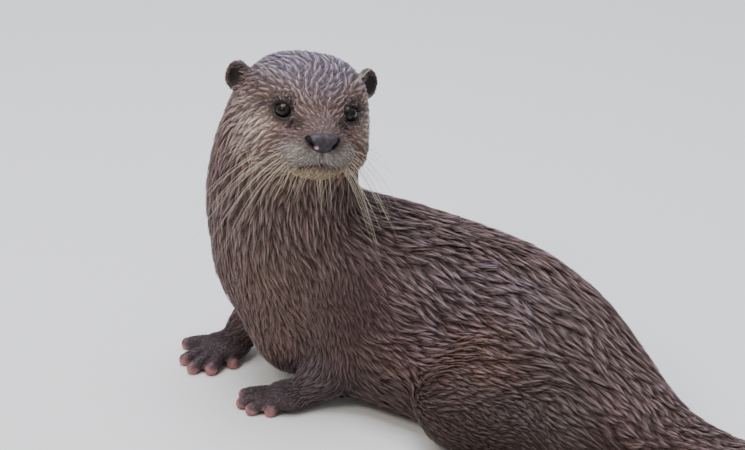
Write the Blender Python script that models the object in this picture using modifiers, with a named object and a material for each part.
"""A small river otter as a still, life-size model, crouching with its head raised and turned.

Frame: metres, +Z up. The trunk lies along X with the tail towards +X, the face looks towards -Y,
and the soles, rump and tail rest on small flats at z = 0. The origin is the middle of the model's
footprint box.

The body is a list of flesh masses: ellipsoids, tapered limbs and splined chains of them. They are
joined, remeshed, drawn onto their smooth union and then parted by thin cuts into named nodes.
"""

import math

import bmesh
import bpy
import numpy as np
from mathutils import Matrix, Vector

# ---------------------------------------------------------------------------------------------
# Driving sizes
# ---------------------------------------------------------------------------------------------
CM = 0.01
GAP = 0.0004            # width of a cut between two nodes
VOXEL = 0.0017          # remesh size of the joined masses
FLOOR_SINK = 0.0012     # how far a resting form is pressed below the floor before it is cut flat
BODY_TRIANGLES = 2450   # of the whole body, before it is parted

HEAD_YAW = 13.2         # degrees the face turns from -Y towards +X
HEAD_PITCH = 11.0       # degrees the face looks above level
HEAD_ROLL = 8.3         # degrees the otter's left side of the head drops
SKULL = Vector((-0.042, 0.018, 0.193))    # middle of the braincase

EYE_RADIUS = 0.0062
EYE_PLACE = (3.20, 2.05, 0.24)            # cm, in the head's frame: forward, left, up
EAR_PLACE = (-1.35, 4.10, 1.45)
EAR_TURN = 28.0                           # degrees an ear's opening turns outwards from forward
EAR_RADII = (0.0044, 0.0092, 0.0106)
EAR_HOLLOW = (0.0062, 0.0066, 0.0080)
EAR_HOLLOW_OUT = 0.0054                   # how far the hollow's middle lies in front of the ear's
NOSE_PLACE = (5.75, 0.0, -1.28)
NOSE_RADII = (0.0056, 0.0116, 0.0060)

LEFT, RIGHT = 1, -1
SIDES = {"left": LEFT, "right": RIGHT}
WORLD = Matrix.Identity(3)


def head_axes():
    """The head's forward, left and up directions, as a matrix's columns."""
    yaw, pitch, roll = (math.radians(a) for a in (HEAD_YAW, HEAD_PITCH, HEAD_ROLL))
    forward = Vector((math.sin(yaw) * math.cos(pitch), -math.cos(yaw) * math.cos(pitch), math.sin(pitch)))
    level_left = Vector((math.cos(yaw), math.sin(yaw), 0.0))
    level_up = forward.cross(level_left)
    left = level_left * math.cos(roll) - level_up * math.sin(roll)
    up = level_up * math.cos(roll) + level_left * math.sin(roll)
    return Matrix((forward, left, up)).transposed()


HEAD = head_axes()


def in_head(place, side=LEFT):
    """A point given in cm in the head's frame, on the left or mirrored to the right."""
    forward, left, up = place
    return SKULL + HEAD @ Vector((forward, left * side, up)) * CM


# ---------------------------------------------------------------------------------------------
# Flesh masses
# ---------------------------------------------------------------------------------------------
class Mass:
    """A rounded form: a tapered limb between two points, warped by a 3x3 matrix about its middle."""

    def __init__(self, start, end, start_radius, end_radius, warp=WORLD, blend=0.01):
        self.start, self.end = Vector(start), Vector(end)
        self.start_radius, self.end_radius = start_radius, end_radius
        self.warp, self.blend = warp, blend
        self.middle = (self.start + self.end) / 2
        self.unwarp = warp.inverted()

    def reach(self):
        """Radius of a ball about the middle that holds the form."""
        stretch = max(column.length for column in self.warp.col)
        return (self.end - self.start).length / 2 + max(self.start_radius, self.end_radius) * stretch

    def distance(self, points):
        """Signed distance of each point from the form's surface, outside positive."""
        unwarp = np.array(self.unwarp)
        local = (points - np.array(self.middle)) @ unwarp.T
        start = unwarp @ np.array(self.start - self.middle)
        along = unwarp @ np.array(self.end - self.start)
        span = max(np.linalg.norm(along), 1e-9)
        axis = along / span
        far = (local - start) @ axis
        aside = np.linalg.norm(local - start - far[:, None] * axis, axis=1)
        slope = np.clip((self.start_radius - self.end_radius) / span, -0.95, 0.95)
        share = ((far - aside * slope / math.sqrt(1 - slope**2)) / span).clip(0, 1)
        away = local - (start + share[:, None] * along)
        length = np.maximum(np.linalg.norm(away, axis=1), 1e-9)
        stretch = np.linalg.norm((away / length[:, None]) @ unwarp, axis=1)
        radius = self.start_radius + (self.end_radius - self.start_radius) * share
        return (length - radius) / stretch

    def points_into(self, form, detail):
        """Adds the two end balls to a bmesh."""
        for centre, radius in ((self.start, self.start_radius), (self.end, self.end_radius)):
            place = self.warp.to_4x4() @ Matrix.Translation(self.unwarp @ (centre - self.middle))
            place = Matrix.Translation(self.middle) @ place
            bmesh.ops.create_icosphere(form, subdivisions=detail, radius=radius, matrix=place)


class Chain:
    """Tapered limbs end to end along a smooth curve, which count as one form."""

    def __init__(self, places, radii, blend=0.01, warp=WORLD, steps=4):
        knots = [(*place, radius) for place, radius in zip(places, radii)]
        curve = [catmull_rom(knots, i / steps) for i in range((len(knots) - 1) * steps + 1)]
        pairs = zip(curve, curve[1:])
        self.links = [Mass(a[:3], b[:3], a[3], b[3], warp, blend) for a, b in pairs]
        self.blend = blend


def catmull_rom(knots, at):
    """The point at a parameter on a smooth curve through the knots."""
    index = min(int(at), len(knots) - 2)
    t = at - index
    before, a, b, after = (np.array(knots[min(max(index + k, 0), len(knots) - 1)]) for k in (-1, 0, 1, 2))
    slope_a, slope_b = (b - before) / 2, (after - a) / 2
    return (2 * t**3 - 3 * t**2 + 1) * a + (t**3 - 2 * t**2 + t) * slope_a \
        + (3 * t**2 - 2 * t**3) * b + (t**3 - t**2) * slope_b


def ellipsoid(centre, radii, axes=WORLD, blend=0.01):
    """A mass with a radius along each of three axes."""
    small = min(radii)
    warp = axes @ Matrix.Diagonal([r / small for r in radii]) @ axes.transposed()
    return Mass(centre, centre, small, small, warp, blend)


def widened(direction, factor):
    """A warp that stretches space along one direction."""
    unit = Vector(direction).normalized()
    return WORLD + (factor - 1) * Matrix([[a * b for b in unit] for a in unit])


def level_axes(direction):
    """Axes whose first follows a direction laid level."""
    forward = Vector((direction[0], direction[1], 0.0)).normalized()
    return Matrix((forward, Vector((-forward.y, forward.x, 0.0)), Vector((0, 0, 1)))).transposed()


def heading(degrees):
    """A level unit vector at an angle from +X towards +Y."""
    return Vector((math.cos(math.radians(degrees)), math.sin(math.radians(degrees)), 0.0))


# ---------------------------------------------------------------------------------------------
# Head
# ---------------------------------------------------------------------------------------------
def head_ball(place, radii, side=LEFT, blend=0.007):
    """An ellipsoid given in cm in the head's frame."""
    return ellipsoid(in_head(place, side), [r * CM for r in radii], HEAD, blend)


def ear_axes(side):
    """An ear's own axes: out of its opening, across it and up."""
    return HEAD @ Matrix.Rotation(math.radians(EAR_TURN) * side, 3, "Z")


def head_masses():
    """Skull, brow, cheeks, jaw, muzzle, whisker pads and chin."""
    masses = [
        head_ball((1.3, 0, 0.45), (2.9, 2.9, 1.95)),
        head_ball((0.9, 0, -2.3), (3.3, 3.0, 2.1)),
    ]
    for side in SIDES.values():
        masses.append(head_ball((-0.4, 0.95, 0.35), (3.9, 3.05, 2.98), side, 0.010))
        masses.append(head_ball((-0.1, 2.3, -1.4), (3.0, 1.9, 2.5), side))
        masses.append(head_ball((2.0, 1.75, -1.2), (2.0, 1.6, 1.6), side, 0.010))
        masses.append(head_ball((2.25, 1.85, 0.95), (1.2, 1.15, 0.6), side, 0.006))
        masses.append(head_ball((1.7, 2.1, -2.45), (2.1, 1.6, 1.4), side, 0.010))
    masses.append(Mass(in_head((2.2, 0, 0.55)), in_head((5.0, 0, -0.95)), 0.0120, 0.0088,
                       widened(HEAD.col[1], 1.35), 0.009))
    masses.append(head_ball((3.95, 0, -1.85), (2.05, 2.1, 1.4), blend=0.006))
    for side in SIDES.values():
        masses.append(head_ball((4.3, 1.05, -2.15), (1.5, 1.3, 1.0), side, 0.004))
    masses.append(head_ball((3.95, 0, -3.1), (1.65, 1.6, 0.75), blend=0.005))
    return masses


# ---------------------------------------------------------------------------------------------
# Neck, trunk and tail
# ---------------------------------------------------------------------------------------------
NECK_PLACES = [
    (-0.0510, 0.033, 0.172),
    (-0.0558, 0.032, 0.147),
    (-0.0568, 0.033, 0.121),
    (-0.0528, 0.036, 0.0888),
]
NECK_RADII = (0.0440, 0.0475, 0.0490, 0.0490)
TRUNK_PLACES = [
    (-0.045, 0.041, 0.082), (0.0, 0.038, 0.071), (0.0555, 0.017, 0.0573),
    (0.088, -0.007, 0.0520), (0.117, -0.032, 0.0447), (0.143, -0.060, 0.0345), (0.167, -0.091, 0.0246),
]
TRUNK_RADII = (0.048, 0.0515, 0.0543, 0.0535, 0.0457, 0.0360, 0.0261)
TAIL_LINE = [
    (0.167, -0.091), (0.193, -0.119), (0.2235, -0.141), (0.262, -0.161),
    (0.305, -0.170), (0.345, -0.163), (0.380, -0.147),
]
TAIL_RADII = (0.0261, 0.0218, 0.0190, 0.0154, 0.0122, 0.0090, 0.0054)


def tail_chain():
    """The tail, laid along the floor."""
    places = [(x, y, radius - FLOOR_SINK) for (x, y), radius in zip(TAIL_LINE, TAIL_RADII)]
    return Chain(places, TAIL_RADII, 0.006)


def neck_masses():
    """Neck and brisket."""
    brisket = ellipsoid((-0.043, 0.030, 0.046), (0.038, 0.040, 0.040), blend=0.018)
    return [Chain(NECK_PLACES, NECK_RADII, 0.014), brisket]


def trunk_masses():
    """Rib cage, loin and rump along the spine, with the belly hanging below."""
    belly = Chain([(0.0, 0.000, 0.0290), (0.050, -0.037, 0.0310)], (0.0290, 0.0325), 0.014)
    return [Chain(TRUNK_PLACES, TRUNK_RADII, 0.014), belly]


# ---------------------------------------------------------------------------------------------
# Limbs
# ---------------------------------------------------------------------------------------------
# Each toe's angle from the paw's heading, in degrees, and its reach from the wrist or heel, in cm.
HIND_TOES = [(-30, 5.9), (-14, 6.9), (0, 7.1), (14, 6.7), (30, 5.6)]
FORE_PALM = (0.0160, 0.0165, 0.0088)
HIND_PALM = (0.0250, 0.0155, 0.0088)
TOE_RADIUS = 0.0044
TOE_BLEND = 0.0024

FORE_LIMBS = {
    "left": {
        "joints": [(-0.018, 0.010, 0.078), (-0.012, -0.002, 0.036), (-0.038, -0.010, 0.0155)],
        "facing": 181, "toes": [(-40, 3.2), (-19, 4.5), (2, 4.45), (20, 4.05), (37, 3.1)],
    },
    "right": {
        "joints": [(-0.056, 0.064, 0.080), (-0.056, 0.078, 0.048), (-0.083, 0.072, 0.0175)],
        "facing": 212, "toes": [(-52, 4.1), (-8, 4.25), (15, 4.6), (33, 4.1), (58, 2.8)],
    },
}
FORE_RADII = (0.032, 0.0225, 0.0125)
HIND_LIMBS = {
    "left": {
        "joints": [(0.106, -0.044, 0.044), (0.053, -0.073, 0.029), (0.128, -0.104, 0.0145)],
        "facing": 178, "toes": HIND_TOES,
    },
    "right": {
        "joints": [(0.126, -0.006, 0.041), (0.086, 0.033, 0.030), (0.146, 0.022, 0.0145)],
        "facing": 128, "toes": HIND_TOES[::-1],
    },
}
THIGH_RADII = (0.041, 0.029, 0.038)
SHANK_RADII = (0.0265, 0.0150)
HAM_RADII = (0.031, 0.020)


def paw_ground(limb):
    """The point on the floor below a limb's wrist or heel."""
    end = limb["joints"][-1]
    return Vector((end[0], end[1], 0.0))


def paw_masses(limb, palm):
    """A flat paw with spread toes whose rounded tips rest on the floor."""
    ground, forward = paw_ground(limb), heading(limb["facing"])
    length, _, height = palm
    middle = ground + forward * length * 0.95 + Vector((0, 0, height - FLOOR_SINK))
    masses = [ellipsoid(middle, palm, level_axes(forward), 0.007)]
    for angle, reach in limb["toes"]:
        along = heading(limb["facing"] + angle)
        base = ground + forward * length * 0.55
        out = reach * CM - length * 0.55
        root = base + along * out * 0.25 + Vector((0, 0, TOE_RADIUS * 1.5))
        knuckle = base + along * out * 0.62 + Vector((0, 0, TOE_RADIUS * 1.65))
        tip = base + along * out + Vector((0, 0, TOE_RADIUS - FLOOR_SINK))
        radii = (TOE_RADIUS * 1.1, TOE_RADIUS * 0.98, TOE_RADIUS * 1.02)
        masses.append(Chain([root, knuckle, tip], radii, TOE_BLEND, steps=2))
    return masses


def fore_limb_masses(limb):
    """Shoulder, upper arm, forearm and fore paw."""
    return [Chain(limb["joints"], FORE_RADII, 0.010)] + paw_masses(limb, FORE_PALM)


def hind_limb_masses(limb):
    """Thigh, shank, the ham that fills the fold behind them, and hind paw."""
    hip, knee, heel = (Vector(place) for place in limb["joints"])
    thigh = ellipsoid(hip.lerp(knee, 0.35), THIGH_RADII, level_axes(knee - hip), 0.014)
    ham = Chain([hip.lerp(heel, 0.30), hip.lerp(heel, 0.80)], HAM_RADII, 0.018)
    return [thigh, Chain([knee, heel], SHANK_RADII, 0.018), ham] + paw_masses(limb, HIND_PALM)


# ---------------------------------------------------------------------------------------------
# The smooth union and the mesh drawn onto it
# ---------------------------------------------------------------------------------------------
def body_forms():
    """Every form of flesh, in the order in which they are blended."""
    forms = trunk_masses() + neck_masses() + head_masses() + [tail_chain()]
    for limb in FORE_LIMBS.values():
        forms += fore_limb_masses(limb)
    for limb in HIND_LIMBS.values():
        forms += hind_limb_masses(limb)
    return forms


def links_of(form):
    """The masses that make up a form."""
    return form.links if isinstance(form, Chain) else [form]


def form_distance(form, points):
    """Signed distance from a form, worked out only near it, and 1 elsewhere."""
    total = np.full(len(points), 1.0)
    for mass in links_of(form):
        near = np.linalg.norm(points - np.array(mass.middle), axis=1) < mass.reach() + 0.025
        total[near] = np.minimum(total[near], mass.distance(points[near]))
    return total


def body_distance(points, forms):
    """Signed distance from the smooth union of the forms."""
    total = np.full(len(points), 1.0)
    for form in forms:
        near = form_distance(form, points)
        mix = np.maximum(form.blend - np.abs(total - near), 0.0)
        total = np.minimum(total, near) - mix * mix / form.blend * 0.25
    return total


def drawn_to_surface(points, forms, rounds=5):
    """Moves the points along the distance's slope until they lie on the union."""
    step = 2e-4
    for _ in range(rounds):
        here = body_distance(points, forms)
        ahead = [body_distance(points + np.eye(3)[k] * step, forms) for k in range(3)]
        slope = (np.stack(ahead, 1) - here[:, None]) / step
        size = np.maximum((slope ** 2).sum(1), 0.25)
        points = points - (here / size).clip(-0.003, 0.003)[:, None] * slope
    return points


def hull_into(joined, mass, detail):
    """Adds the convex hull of a mass's end balls to a bmesh."""
    form = bmesh.new()
    mass.points_into(form, detail)
    bmesh.ops.remove_doubles(form, verts=form.verts[:], dist=1e-5)
    bmesh.ops.convex_hull(form, input=form.verts[:])
    loose = [v for v in form.verts if not v.link_faces]
    bmesh.ops.delete(form, geom=loose, context="VERTS")
    bmesh.ops.recalc_face_normals(form, faces=form.faces[:])
    shape = bpy.data.meshes.new("form")
    form.to_mesh(shape)
    form.free()
    joined.from_mesh(shape)
    bpy.data.meshes.remove(shape)


def vertex_places(mesh):
    """A mesh's vertices as an array."""
    places = np.empty(len(mesh.vertices) * 3)
    mesh.vertices.foreach_get("co", places)
    return places.reshape(-1, 3)


def bake_modifiers(item):
    """Applies an object's modifiers to its mesh."""
    bpy.context.view_layer.update()
    mesh = bpy.data.meshes.new_from_object(item.evaluated_get(bpy.context.evaluated_depsgraph_get()))
    item.modifiers.clear()
    item.data = mesh


def body_object():
    """The whole body as one closed mesh of few triangles."""
    forms = body_forms()
    joined = bmesh.new()
    for form in forms:
        for mass in links_of(form):
            hull_into(joined, mass, 3)
    mesh = bpy.data.meshes.new("body")
    joined.to_mesh(mesh)
    joined.free()
    body = bpy.data.objects.new("body", mesh)
    bpy.context.scene.collection.objects.link(body)
    remesh = body.modifiers.new("join", "REMESH")
    remesh.mode, remesh.voxel_size = "VOXEL", VOXEL
    bake_modifiers(body)
    points = drawn_to_surface(vertex_places(body.data), forms)
    body.data.vertices.foreach_set("co", points.ravel())
    body.data.update()
    thin = body.modifiers.new("thin", "DECIMATE")
    thin.ratio = BODY_TRIANGLES / (2 * len(body.data.polygons))
    thin.use_collapse_triangulate = True
    bake_modifiers(body)
    return body


# ---------------------------------------------------------------------------------------------
# Parting the body into its nodes
# ---------------------------------------------------------------------------------------------
class Parting:
    """Peels named nodes off the body one after another, with a thin gap behind each."""

    def __init__(self, body, parts, cutters):
        self.rest, self.parts, self.cutters = body, parts, cutters

    def cutter(self, name, mesh):
        """A hidden wire object that cuts."""
        made = bpy.data.objects.new(f"cut_{name}", mesh)
        self.cutters.objects.link(made)
        made.hide_render = True
        made.display_type = "WIRE"
        return made

    def cut(self, item, cutter, operation):
        """Applies a Boolean of one object with a cutter."""
        boolean = item.modifiers.new(operation.lower(), "BOOLEAN")
        boolean.object, boolean.operation, boolean.solver = cutter, operation, "EXACT"
        bake_modifiers(item)

    def peel(self, name, shape, finish):
        """Takes what lies in a shape as a node. The shape is a function from a margin to a mesh."""
        node = bpy.data.objects.new(name, self.rest.data.copy())
        self.parts.objects.link(node)
        self.cut(node, self.cutter(name, shape(0.0)), "INTERSECT")
        self.cut(self.rest, self.cutter(f"{name}_clear", shape(GAP)), "DIFFERENCE")
        self.finish(node, finish)

    def finish(self, node, finish):
        """Keeps a node's largest body, names its mesh and gives it its material."""
        node.data = loose_bodies(node)[0]
        node.data.name = node.name
        node.data.materials.clear()
        node.data.materials.append(finish)
        node.data.shade_smooth()
        node.data.set_sharp_from_angle(angle=math.radians(40))

    def free_bodies(self, places, finish):
        """Makes each small body that has come free a node, named by the nearest of some places."""
        bodies = loose_bodies(self.rest)
        self.rest.data = bodies[0]
        for name, place in places.items():
            node = bpy.data.objects.new(name, min(bodies[1:], key=lambda mesh: distance_to(mesh, place)))
            self.parts.objects.link(node)
            self.finish(node, finish)


def distance_to(mesh, place):
    """How far a mesh's mean vertex is from a place."""
    return np.linalg.norm(vertex_places(mesh).mean(axis=0) - np.array(place))


def ball_mesh(centre, radii, axes=WORLD, detail=2):
    """A function from a margin to an ellipsoid mesh that is larger by it."""
    def shape(margin):
        form = bmesh.new()
        size = Matrix.Diagonal([r + margin for r in radii])
        place = Matrix.Translation(centre) @ (axes @ size).to_4x4()
        bmesh.ops.create_icosphere(form, subdivisions=detail, radius=1.0, matrix=place)
        mesh = bpy.data.meshes.new("ball")
        form.to_mesh(mesh)
        form.free()
        return mesh
    return shape


def beyond_mesh(point, direction, size=0.9):
    """A function from a margin to a block that fills the space beyond a plane."""
    def shape(margin):
        form = bmesh.new()
        turn = Vector(direction).to_track_quat("Z", "Y").to_matrix().to_4x4()
        place = Matrix.Translation(point) @ turn @ Matrix.Translation((0, 0, size / 2 - margin))
        bmesh.ops.create_cube(form, size=size, matrix=place)
        mesh = bpy.data.meshes.new("block")
        form.to_mesh(mesh)
        form.free()
        return mesh
    return shape


def loose_bodies(item):
    """The separate bodies of a mesh, largest first, as new meshes."""
    form = bmesh.new()
    form.from_mesh(item.data)
    left, groups = set(form.verts), []
    while left:
        queue = [left.pop()]
        group = set(queue)
        while queue:
            for edge in queue.pop().link_edges:
                for vert in edge.verts:
                    if vert in left:
                        left.discard(vert)
                        group.add(vert)
                        queue.append(vert)
        groups.append(group)
    numbers = [{v.index for v in group} for group in groups]
    form.free()
    meshes = []
    for kept in numbers:
        part = bmesh.new()
        part.from_mesh(item.data)
        part.verts.ensure_lookup_table()
        bmesh.ops.delete(part, geom=[v for v in part.verts if v.index not in kept], context="VERTS")
        mesh = bpy.data.meshes.new(item.name)
        volume = part.calc_volume()
        part.to_mesh(mesh)
        part.free()
        meshes.append((volume, mesh))
    return [mesh for _, mesh in sorted(meshes, key=lambda pair: -pair[0])]


# Where the nodes part: planes across the neck, trunk and tail as (name, point, direction), outermost
# first, and balls round each limb's root as (centre, radii) and round a hind paw as radii.
TAIL_CUTS = [
    ("tail_tip", (0.318, -0.1695, 0.0), (1.0, 0.10, 0.0)),
    ("tail_middle", (0.238, -0.150, 0.0), (0.90, -0.44, 0.0)),
    ("tail_base", (0.165, -0.088, 0.0), (0.62, -0.78, 0.0)),
]
TRUNK_CUTS = [
    ("head", (-0.048, 0.034, 0.160), (0.0, -0.40, 0.92)),
    ("neck", (-0.057, 0.034, 0.108), (-0.42, 0.0, 0.91)),
    ("rump", (0.108, -0.024, 0.0), (0.76, -0.65, 0.0)),
    ("loin", (0.030, 0.028, 0.0), (0.94, -0.34, 0.0)),
]
FORE_ROOTS = {
    "left": ((-0.020, -0.011, 0.045), (0.042, 0.049, 0.060)),
    "right": ((-0.058, 0.088, 0.050), (0.041, 0.037, 0.060)),
}
HIND_ROOTS = {
    "left": ((0.094, -0.080, 0.036), (0.072, 0.056, 0.055)),
    "right": ((0.112, 0.036, 0.038), (0.058, 0.045, 0.052)),
}
HIND_PAW_BALL = (0.052, 0.029, 0.0160)
FLOOR = ((0.0, 0.0, 0.0), (0.0, 0.0, -1.0))

COLOURS = {
    "coat": ((0.085, 0.055, 0.040), 0.75),
    "face": ((0.150, 0.100, 0.075), 0.75),
    "paw": ((0.060, 0.040, 0.034), 0.6),
    "ear": ((0.040, 0.026, 0.022), 0.8),
    "nose": ((0.030, 0.022, 0.026), 0.35),
    "eye": ((0.010, 0.007, 0.006), 0.06),
}


def material(name):
    """A Principled material of one colour."""
    colour, roughness = COLOURS[name]
    made = bpy.data.materials.new(name)
    made.use_nodes = True
    surface = made.node_tree.nodes["Principled BSDF"]
    surface.inputs["Base Color"].default_value = (*colour, 1.0)
    surface.inputs["Roughness"].default_value = roughness
    surface.inputs["Metallic"].default_value = 0.0
    made.diffuse_color = (*colour, 1.0)
    return made


def inset(parting, name, centre, radii, axes, finish):
    """Sets an ellipsoid of its own, such as an eye, into the body."""
    shape = ball_mesh(centre, radii, axes, detail=3)
    node = bpy.data.objects.new(name, shape(0.0))
    parting.parts.objects.link(node)
    parting.finish(node, finish)
    parting.cut(parting.rest, parting.cutter(f"{name}_bed", shape(GAP)), "DIFFERENCE")
    return node


def inset_ear(parting, name, side, finish):
    """Sets an ear into the head and scoops out its front."""
    axes = ear_axes(side)
    ear = inset(parting, name, in_head(EAR_PLACE, side), EAR_RADII, axes, finish)
    centre = in_head(EAR_PLACE, side) + axes @ Vector((EAR_HOLLOW_OUT, 0.0, 0.0))
    hollow = ball_mesh(centre, EAR_HOLLOW, axes, detail=3)
    parting.cut(ear, parting.cutter(f"{name}_hollow", hollow(0.0)), "DIFFERENCE")


def part_body(body, parts, cutters):
    """Divides the body into its nodes."""
    finish = {name: material(name) for name in COLOURS}
    parting = Parting(body, parts, cutters)
    parting.cut(body, parting.cutter("floor", beyond_mesh(*FLOOR)(0.0)), "DIFFERENCE")
    for name, side in SIDES.items():
        inset_ear(parting, f"ear_{name}", side, finish["ear"])
        inset(parting, f"eye_{name}", in_head(EYE_PLACE, side), [EYE_RADIUS] * 3, HEAD, finish["eye"])
    inset(parting, "nose_pad", in_head(NOSE_PLACE), NOSE_RADII, HEAD, finish["nose"])
    for name, limb in HIND_LIMBS.items():
        forward = heading(limb["facing"])
        centre = paw_ground(limb) + forward * 0.034 + Vector((0, 0, 0.003))
        paw_ball = ball_mesh(centre, HIND_PAW_BALL, level_axes(forward))
        parting.peel(f"hind_foot_{name}", paw_ball, finish["paw"])
    for name, (centre, radii) in HIND_ROOTS.items():
        parting.peel(f"hind_leg_{name}", ball_mesh(centre, radii), finish["coat"])
    for name, (centre, radii) in FORE_ROOTS.items():
        parting.peel(f"foreleg_{name}", ball_mesh(centre, radii), finish["coat"])
    paws = {f"forefoot_{name}": paw_ground(limb) + heading(limb["facing"]) * 0.024
            for name, limb in FORE_LIMBS.items()}
    parting.free_bodies(paws, finish["paw"])
    for name, point, direction in TAIL_CUTS + TRUNK_CUTS:
        parting.peel(name, beyond_mesh(point, direction), finish["face" if name == "head" else "coat"])
    body.name = "chest"
    bpy.context.scene.collection.objects.unlink(body)
    parts.objects.link(body)
    parting.finish(body, finish["coat"])


def stand_on_origin(parts, cutters):
    """Puts the middle of the footprint box at the origin, and each node's own origin at its middle."""
    corners = np.concatenate([vertex_places(item.data) for item in parts.objects])
    low, high = corners.min(axis=0), corners.max(axis=0)
    footing = Vector(((low[0] + high[0]) / 2, (low[1] + high[1]) / 2, low[2]))
    root = bpy.data.objects.new("otter", None)
    bpy.context.scene.collection.objects.link(root)
    for item in parts.objects[:] + cutters.objects[:]:
        middle = Vector(vertex_places(item.data).mean(axis=0))
        item.data.transform(Matrix.Translation(-middle))
        item.location = middle - footing
        item.parent = root


def clear_scene():
    """Empties the scene."""
    for old in list(bpy.data.objects):
        bpy.data.objects.remove(old)


def collection(name):
    """A new collection in the scene."""
    made = bpy.data.collections.new(name)
    bpy.context.scene.collection.children.link(made)
    return made


def main():
    """Builds the otter."""
    clear_scene()
    parts, cutters = collection("otter"), collection("cutters")
    cutters.hide_render = True
    part_body(body_object(), parts, cutters)
    stand_on_origin(parts, cutters)


if __name__ == "__main__":
    main()
